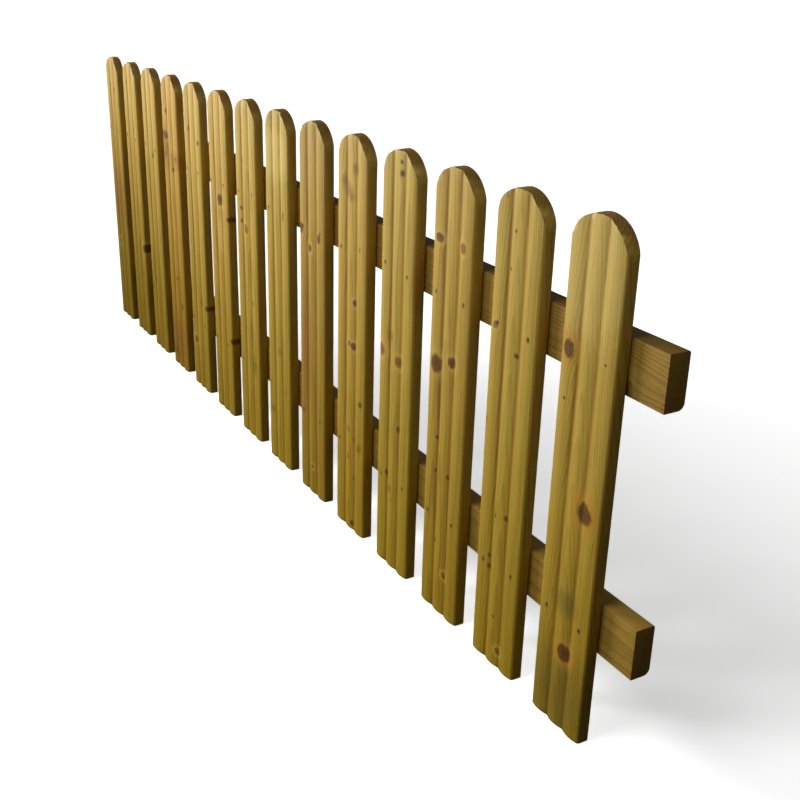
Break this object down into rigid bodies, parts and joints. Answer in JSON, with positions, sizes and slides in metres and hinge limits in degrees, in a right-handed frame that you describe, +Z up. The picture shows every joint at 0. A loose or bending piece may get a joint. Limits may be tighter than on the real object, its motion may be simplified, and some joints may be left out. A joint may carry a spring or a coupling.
{
  "type": "round-top picket fence panel",
  "caption": "Low picket fence panel in pressure-treated softwood: moulded upright pales with round tops, nailed across two level rails whose ends run past as stubs that lap onto posts.",
  "frame": {"origin": "middle of the flat back of the lower rail's left stub, where it lies against a post", "axes": "+X along the panel to the right as seen from the moulded front, +Y to the back where the posts stand, +Z up"},
  "size_m": [1.83, 0.044, 0.6],
  "materials": {
    "pale_wood": "planed softwood, green-tan from pressure treatment, matt",
    "rail_wood": "sawn softwood, green-brown from pressure treatment, matt"
  },
  "bodies": {
    "root": {"pale_01": "pale_wood", "pale_02": "pale_wood", "pale_03": "pale_wood", "pale_04": "pale_wood", "pale_05": "pale_wood", "pale_06": "pale_wood", "pale_07": "pale_wood", "pale_08": "pale_wood", "pale_09": "pale_wood", "pale_10": "pale_wood", "pale_11": "pale_wood", "pale_12": "pale_wood", "pale_13": "pale_wood", "pale_14": "pale_wood", "rail_lower": "rail_wood", "rail_upper": "rail_wood"}
  },
  "joints": []
}
